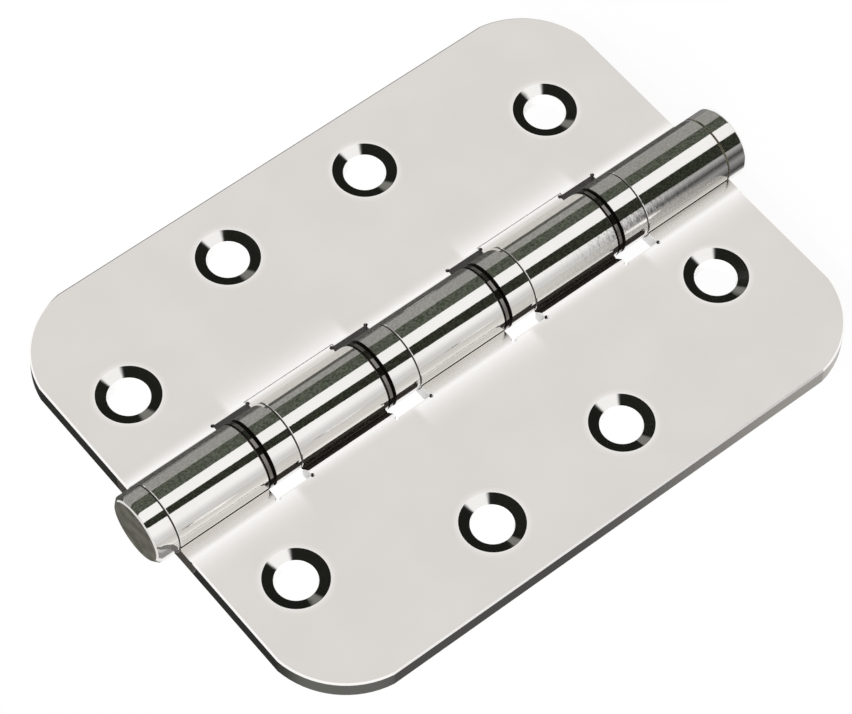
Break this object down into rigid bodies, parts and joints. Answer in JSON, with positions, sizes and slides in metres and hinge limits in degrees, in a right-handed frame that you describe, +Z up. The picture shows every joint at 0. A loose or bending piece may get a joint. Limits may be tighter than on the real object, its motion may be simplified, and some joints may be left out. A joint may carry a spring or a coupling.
{
  "type": "ball bearing butt hinge",
  "caption": "Polished steel butt hinge with round-cornered leaves, countersunk screw holes, rolled knuckles on a headed pin and flush ball thrust bearings between the knuckles.",
  "frame": {"origin": "on the pin axis at mid height, the centre of the opened hinge", "axes": "+Z up along the pin toward its head, +X along the door leaf, +Y toward the backs of the leaves; screw faces look to -Y"},
  "size_m": [0.0768, 0.0108, 0.1068],
  "materials": {
    "polished_leaf": "mirror polished steel",
    "pin_steel": "polished steel",
    "bearing_steel": "mirror polished steel"
  },
  "bodies": {
    "frame_side": {"frame_leaf": "polished_leaf", "hinge_pin": "pin_steel", "end_plug": "pin_steel", "bearing_race_1": "bearing_steel", "bearing_cup_2": "bearing_steel", "bearing_race_3": "bearing_steel", "bearing_cup_4": "bearing_steel"},
    "door_side": {"door_leaf": "polished_leaf", "bearing_cup_1": "bearing_steel", "bearing_race_2": "bearing_steel", "bearing_cup_3": "bearing_steel", "bearing_race_4": "bearing_steel"}
  },
  "joints": [
    {"name": "door_swing", "type": "hinge", "parent": "frame_side", "child": "door_side", "pos_m": [0, 0, 0], "axis": [0, 0, -1], "range_deg": [-100, 180]}
  ]
}
